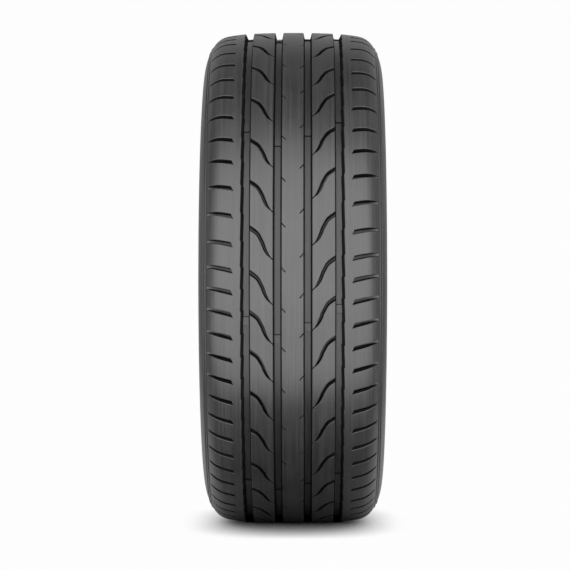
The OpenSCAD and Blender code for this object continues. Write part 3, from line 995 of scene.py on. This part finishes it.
def mould_marks():
    """Height of the turned marks and the grain. Across is metres across the marks."""
    group, given, result = node_group(
        "mould_marks", {"Across": 0.0, "Marks Per Metre": 500.0, "Marks": 1.0,
                        "Grain Per Metre": 1400.0, "Grain": 1.0}, ["Height", "Streak"])
    place = add(group, "ShaderNodeTexCoord").outputs["Object"]
    apart = add(group, "ShaderNodeSeparateXYZ", {0: place})
    along_x = maths(group, "MULTIPLY", apart.outputs["X"], ROUND_SHARE)
    along_z = maths(group, "MULTIPLY", apart.outputs["Z"], ROUND_SHARE)
    lined = add(group, "ShaderNodeCombineXYZ", {0: along_x, 1: given.outputs["Across"], 2: along_z})
    marks = add(group, "ShaderNodeTexNoise",
                {"Vector": lined.outputs[0], "Scale": given.outputs["Marks Per Metre"],
                 "Detail": 3.0, "Roughness": 0.6}).outputs["Fac"]
    grain = add(group, "ShaderNodeTexNoise",
                {"Vector": place, "Scale": given.outputs["Grain Per Metre"],
                 "Detail": 2.0, "Roughness": 0.5}).outputs["Fac"]
    height = maths(group, "ADD", maths(group, "MULTIPLY", marks, given.outputs["Marks"]),
                   maths(group, "MULTIPLY", grain, given.outputs["Grain"]))
    group.links.new(height, result.inputs["Height"])
    streak = add(group, "ShaderNodeMapRange", {"Value": marks, "From Min": STREAK_RANGE[0],
                                               "From Max": STREAK_RANGE[1]})
    group.links.new(streak.outputs[0], result.inputs["Streak"])
    return group


# %% Film of wax and dust
SPECK_SHARE = 0.4
FILM_RANGE = (0.4, 0.62)


def rubber_film():
    """Mask of the film: patches a few centimetres wide, broken up by fine specks."""
    group, given, result = node_group(
        "rubber_film", {"Patches Per Metre": 22.0, "Specks Per Metre": 420.0,
                        "Depth": 0.0, "Held In Grooves": 0.5}, ["Film"])
    place = add(group, "ShaderNodeTexCoord").outputs["Object"]
    patches = add(group, "ShaderNodeTexNoise",
                  {"Vector": place, "Scale": given.outputs["Patches Per Metre"],
                   "Detail": 4.0, "Roughness": 0.55}).outputs["Fac"]
    specks = add(group, "ShaderNodeTexNoise",
                 {"Vector": place, "Scale": given.outputs["Specks Per Metre"],
                  "Detail": 3.0, "Roughness": 0.7}).outputs["Fac"]
    both = maths(group, "MULTIPLY_ADD", specks, SPECK_SHARE,
                 maths(group, "MULTIPLY", patches, 1 - SPECK_SHARE))
    spread = add(group, "ShaderNodeMapRange", {"Value": both, "From Min": FILM_RANGE[0],
                                               "From Max": FILM_RANGE[1]})
    held = maths(group, "MULTIPLY", given.outputs["Depth"], given.outputs["Held In Grooves"])
    film = add(group, "ShaderNodeMath", {0: spread.outputs[0], 1: held}, operation="ADD",
               use_clamp=True)
    group.links.new(film.outputs[0], result.inputs["Film"])
    return group


marks_group, film_group = mould_marks(), rubber_film()
print("groups:", marks_group.name, film_group.name)

# %% [markdown]
# ## The four rubbers
#
# One function makes a rubber, because the four differ only in numbers: how dark the
# rubber and its film are, how smooth the mould was, and which way its marks run. Across
# the tread the marks are spaced along Y. On the sidewall and inside, the mould turned
# round the axle, and the marks are spaced by the distance from it. The matt mark on the
# points takes the specular level down in the cuts; its plain value is also on the socket,
# because an exported model keeps only that.

# %% Make a rubber
STREAK_SHARE = 0.7


def distance_from_axle(tree):
    place = add(tree, "ShaderNodeTexCoord").outputs["Object"]
    flat = add(tree, "ShaderNodeVectorMath", {0: place, 1: (1, 0, 1)}, operation="MULTIPLY")
    return add(tree, "ShaderNodeVectorMath", {0: flat.outputs[0]}, operation="LENGTH").outputs["Value"]


def place_across(tree):
    place = add(tree, "ShaderNodeTexCoord").outputs["Object"]
    return add(tree, "ShaderNodeSeparateXYZ", {0: place}).outputs["Y"]


def rubber(name, across, dark, filmed, smooth, rough, shine, bump, marks, film):
    """A cured rubber: dark and filmed are colours, smooth and rough roughnesses, bump metres."""
    material = bpy.data.materials.new(name)
    material.use_nodes = True
    tree = material.node_tree
    shader = tree.nodes["Principled BSDF"]
    depth = add(tree, "ShaderNodeAttribute", attribute_name="groove_depth").outputs["Fac"]
    matt = add(tree, "ShaderNodeAttribute", attribute_name="matt").outputs["Fac"]
    mould = add(tree, "ShaderNodeGroup", node_tree=marks_group)
    tree.links.new(across(tree), mould.inputs["Across"])
    dust = add(tree, "ShaderNodeGroup", node_tree=film_group)
    tree.links.new(depth, dust.inputs["Depth"])
    for node, values in ((mould, marks), (dust, film)):
        for socket, value in values.items():
            node.inputs[socket].default_value = value
    shade = maths(tree, "MULTIPLY_ADD", mould.outputs["Streak"], STREAK_SHARE,
                  maths(tree, "MULTIPLY", dust.outputs["Film"], 1 - STREAK_SHARE))
    colour = add(tree, "ShaderNodeMix", data_type="RGBA")
    tree.links.new(shade, colour.inputs["Factor"])
    colour.inputs["A"].default_value = (*dark, 1)
    colour.inputs["B"].default_value = (*filmed, 1)
    gloss = add(tree, "ShaderNodeMapRange", {"Value": matt, "To Min": shine, "To Max": 0.0})
    shader.inputs["Specular IOR Level"].default_value = shine
    tree.links.new(gloss.outputs[0], shader.inputs["Specular IOR Level"])
    rub = add(tree, "ShaderNodeMapRange", {"Value": shade, "To Min": smooth, "To Max": rough})
    relief = add(tree, "ShaderNodeBump", {"Height": mould.outputs["Height"], "Strength": 1.0,
                                          "Distance": bump})
    tree.links.new(colour.outputs["Result"], shader.inputs["Base Color"])
    tree.links.new(rub.outputs[0], shader.inputs["Roughness"])
    tree.links.new(relief.outputs["Normal"], shader.inputs["Normal"])
    skin.materials.append(material)


rubber("tread_rubber", place_across, dark=(0.015, 0.015, 0.0152), filmed=(0.043, 0.0427, 0.0423),
       smooth=0.35, rough=0.47, shine=1.0, bump=0.00016,
       marks={"Marks Per Metre": 520.0, "Marks": 1.0, "Grain Per Metre": 1600.0, "Grain": 0.5},
       film={"Held In Grooves": 0.1})
# The walls' darker colours are painted shade for the inside of the cuts; their low shine and high
# roughness are their finish.
rubber("groove_wall_rubber_painted_shade", place_across, dark=(0.006, 0.006, 0.006), filmed=(0.012, 0.012, 0.012),
       smooth=0.70, rough=0.85, shine=0.1, bump=0.00012,
       marks={"Marks Per Metre": 400.0, "Marks": 0.5, "Grain Per Metre": 1200.0, "Grain": 1.0},
       film={"Held In Grooves": 0.0})
rubber("sidewall_rubber", distance_from_axle, dark=(0.022, 0.022, 0.0224),
       filmed=(0.040, 0.0396, 0.0392), smooth=0.37, rough=0.51, shine=0.6, bump=0.00008,
       marks={"Marks Per Metre": 700.0, "Marks": 0.8, "Grain Per Metre": 1900.0, "Grain": 0.4},
       film={"Patches Per Metre": 16.0})
rubber("liner_rubber", distance_from_axle, dark=(0.030, 0.029, 0.028), filmed=(0.070, 0.067, 0.062),
       smooth=0.55, rough=0.75, shine=0.35, bump=0.0002,
       marks={"Marks Per Metre": 160.0, "Marks": 1.0, "Grain Per Metre": 900.0, "Grain": 1.0},
       film={"Patches Per Metre": 30.0})
print([material.name for material in skin.materials])

# %% [markdown]
# ## Floor and surroundings
#
# The photograph was taken on white. White that comes from strong lamps would wash the
# black rubber out, so here the white belongs to the floor and the surroundings alone:
# rays from the camera, and mirrored rays, find it, and the light that really falls on the
# tyre stays plain. Scattered light finds the floor as ordinary paper.
#
# The shadow on that white comes from how much of the sky the tyre covers at each place of
# the floor, which ambient occlusion measures. Its rays are short for the camera, because
# the photograph's shadow is only a hand wide, and longer for the mirrored floor.
#
# The photograph's rubber mirrors a dim room in front and at its sides, and white paper
# behind the tyre and close beside it. Mirrored rays find the floor the same way here. For
# the camera, the floor right under the tyre is painted black as shade: the ends of the
# grooves leave small windows there, through which it would see the paper. That patch of
# painted shade reaches out behind the tyre, where the photograph can't see, so a camera
# at the back finds its dark end.

# %% Helpers for the floor and the surroundings
SHADOW_SAMPLES = 16


def seen_ray(tree):
    """1 for rays from the camera and for mirrored or transmitted rays, 0 for scattered light."""
    path = add(tree, "ShaderNodeLightPath")
    mirrored = maths(tree, "MAXIMUM", path.outputs["Is Glossy Ray"],
                     path.outputs["Is Transmission Ray"])
    return maths(tree, "MAXIMUM", path.outputs["Is Camera Ray"], mirrored)


def floor_shadow(tree, reach, clear, depth):
    """How white the floor stays: 1 where at least the clear share of the sky is open."""
    covered = add(tree, "ShaderNodeAmbientOcclusion", {"Distance": reach},
                  samples=SHADOW_SAMPLES)
    opened = add(tree, "ShaderNodeMapRange", {"Value": covered.outputs["AO"], "From Max": clear})
    return maths(tree, "POWER", opened.outputs[0], depth)


# %% Lay the floor
FLOOR_HALF = 60.0
floor_mesh = bpy.data.meshes.new("floor")
floor_mesh.from_pydata([(x, y, CAD_LOW.z) for x, y in
                        ((-FLOOR_HALF, -FLOOR_HALF), (FLOOR_HALF, -FLOOR_HALF),
                         (FLOOR_HALF, FLOOR_HALF), (-FLOOR_HALF, FLOOR_HALF))], [], [(0, 1, 2, 3)])
floor = bpy.data.objects.new("floor", floor_mesh)
bpy.context.scene.collection.objects.link(floor)
print("the floor lies at", round(CAD_LOW.z, 4), "m")

# %% Say where the floor is painted black as shade and where it is dim
# Under the tyre the floor is painted black for the camera, as painted shade.
PAINTED_SHADE_UNDER = {"behind_axle": 0.05, "half_length": 0.075, "half_width": 0.062}
DIM = 0.15
FRONT_EDGE = (0.08, 0.19)
FRONT_SLANT = 0.15
SIDE_EDGE = (0.2, 0.7)
SIDE_SLANT = 0.5


def outside_painted_shade(tree, along, across):
    """0 on the stretch of floor under the tyre, which is painted black as shade, 1 elsewhere."""
    from_middle = maths(tree, "ABSOLUTE", maths(tree, "ADD", along, PAINTED_SHADE_UNDER["behind_axle"]))
    return maths(tree, "MAXIMUM",
                 maths(tree, "GREATER_THAN", from_middle, PAINTED_SHADE_UNDER["half_length"]),
                 maths(tree, "GREATER_THAN", across, PAINTED_SHADE_UNDER["half_width"]))


def fading(tree, value, edge):
    """1 where the value is below the edge's first number, DIM where it is above its second."""
    return add(tree, "ShaderNodeMapRange",
               {"Value": value, "From Min": edge[0], "From Max": edge[1],
                "To Min": 1.0, "To Max": DIM}).outputs[0]


def mirrored_white(tree, along, across):
    """1 behind the tyre and close beside it, down to DIM in front and further to the sides."""
    in_front = maths(tree, "SUBTRACT", along, maths(tree, "MULTIPLY", across, FRONT_SLANT))
    beside = maths(tree, "MULTIPLY_ADD", along, SIDE_SLANT, across)
    faded = maths(tree, "MULTIPLY", fading(tree, in_front, FRONT_EDGE),
                  fading(tree, beside, SIDE_EDGE))
    return maths(tree, "MAXIMUM", faded, DIM)


# %% Mix the floor's paper
WHITE = 0.985
PAPER = 0.7
SHADOW = {"reach": 0.10, "clear": 0.68, "depth": 1.0}
MIRRORED_SHADOW = {"reach": 0.25, "clear": 1.0, "depth": 1.5}

paper = bpy.data.materials.new("floor_paper")
paper.use_nodes = True
tree = paper.node_tree
tree.nodes.remove(tree.nodes["Principled BSDF"])
place = add(tree, "ShaderNodeTexCoord").outputs["Object"]
apart = add(tree, "ShaderNodeSeparateXYZ", {0: place})
along, across = apart.outputs["X"], maths(tree, "ABSOLUTE", apart.outputs["Y"])
level = add(tree, "ShaderNodeMix", data_type="FLOAT")
tree.links.new(add(tree, "ShaderNodeLightPath").outputs["Is Camera Ray"], level.inputs["Factor"])
tree.links.new(maths(tree, "MULTIPLY", floor_shadow(tree, **MIRRORED_SHADOW),
                     mirrored_white(tree, along, across)), level.inputs["A"])
# For the camera: the floor's shadow, and black painted as shade under the tyre.
tree.links.new(maths(tree, "MULTIPLY", floor_shadow(tree, **SHADOW),
                     outside_painted_shade(tree, along, across)), level.inputs["B"])
white = add(tree, "ShaderNodeEmission", {"Color": (WHITE, WHITE, WHITE, 1),
                                         "Strength": level.outputs["Result"]})
sheet = add(tree, "ShaderNodeBsdfDiffuse", {"Color": (PAPER, PAPER, PAPER, 1)})
mixed = add(tree, "ShaderNodeMixShader", {0: seen_ray(tree), 1: sheet.outputs[0],
                                          2: white.outputs[0]})
tree.links.new(mixed.outputs[0], tree.nodes["Material Output"].inputs["Surface"])
floor_mesh.materials.append(paper)
print("the floor's shader has", len(tree.nodes), "nodes")

# %% [markdown]
# ## Light
#
# Black rubber shows little of its own colour: what the eye reads is the sheen, a soft
# picture of whatever stands in front of it. The photograph has one wide even sheen over
# the middle of the tread that ends softly a third of the way round the top, at the bottom
# and at the shoulders. A large softbox close in front gives it. A low one lies before
# the tyre, faces up and carries the sheen on below the axle, where the floor would be
# mirrored. Two weak ones beside the tyre lift its sidewalls. Their radiance is given, and
# the power follows from it and from the size, so that the level stays plain whatever the
# size.
#
# Behind the tyre the room is white. Mirrored rays that go there find white, and those that
# go to the sides or the front of the room find it dim. The camera always finds white.

# %% Place the softboxes
SHEEN = 1.95
LOW_SHEEN = 1.6
FILL = 0.15
# Aimed exactly upwards, the low softbox could lie turned any way, so it leans a hair.
LOW_AIM = (0.7199, 0.0, 1.0)


def softbox(name, place, size, aim, radiance):
    """A rectangular soft light of a given radiance at a place, turned to face a point."""
    lamp = bpy.data.lights.new(name, "AREA")
    lamp.shape = "RECTANGLE"
    lamp.size, lamp.size_y = size
    lamp.energy = radiance * math.pi * size[0] * size[1]
    made = bpy.data.objects.new(name, lamp)
    bpy.context.scene.collection.objects.link(made)
    made.location = place
    made.rotation_euler = (Vector(aim) - Vector(place)).to_track_quat("-Z", "Y").to_euler()
    made.visible_camera = False


softbox("front_softbox", place=(1.05, 0.0, 0.67), size=(3.4, 1.9),
        aim=(0.0, 0.0, 0.67), radiance=SHEEN)
softbox("low_softbox", place=(0.72, 0.0, -0.29), size=(3.0, 0.62),
        aim=LOW_AIM, radiance=LOW_SHEEN)
softbox("left_fill", place=(-0.4, -2.4, 0.5), size=(1.6, 1.4),
        aim=(0.0, 0.0, 0.0), radiance=FILL)
softbox("right_fill", place=(-0.4, 2.4, 0.5), size=(1.6, 1.4),
        aim=(0.0, 0.0, 0.0), radiance=FILL)

# %% Colour the surroundings
AMBIENT = 0.2
BACKDROP_EDGE = (-0.5, -1.1)

world = bpy.data.worlds.new("studio")
bpy.context.scene.world = world
world.use_nodes = True
tree = world.node_tree
towards = add(tree, "ShaderNodeTexCoord").outputs["Generated"]
along_view = add(tree, "ShaderNodeSeparateXYZ", {0: towards}).outputs["X"]
behind = add(tree, "ShaderNodeMapRange", {"Value": along_view, "From Min": BACKDROP_EDGE[0],
                                          "From Max": BACKDROP_EDGE[1], "To Min": DIM,
                                          "To Max": WHITE}).outputs[0]
path = add(tree, "ShaderNodeLightPath")
seen = maths(tree, "MINIMUM", WHITE,
             maths(tree, "MAXIMUM", behind, path.outputs["Is Camera Ray"]))
air = add(tree, "ShaderNodeMix", data_type="FLOAT")
tree.links.new(seen_ray(tree), air.inputs["Factor"])
air.inputs["A"].default_value = AMBIENT
tree.links.new(seen, air.inputs["B"])
tree.links.new(air.outputs["Result"], tree.nodes["Background"].inputs["Color"])
bpy.context.scene.view_settings.view_transform = "Standard"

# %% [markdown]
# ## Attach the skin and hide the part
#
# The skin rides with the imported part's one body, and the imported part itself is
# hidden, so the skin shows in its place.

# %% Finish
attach(tyre, "root")
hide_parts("tyre")
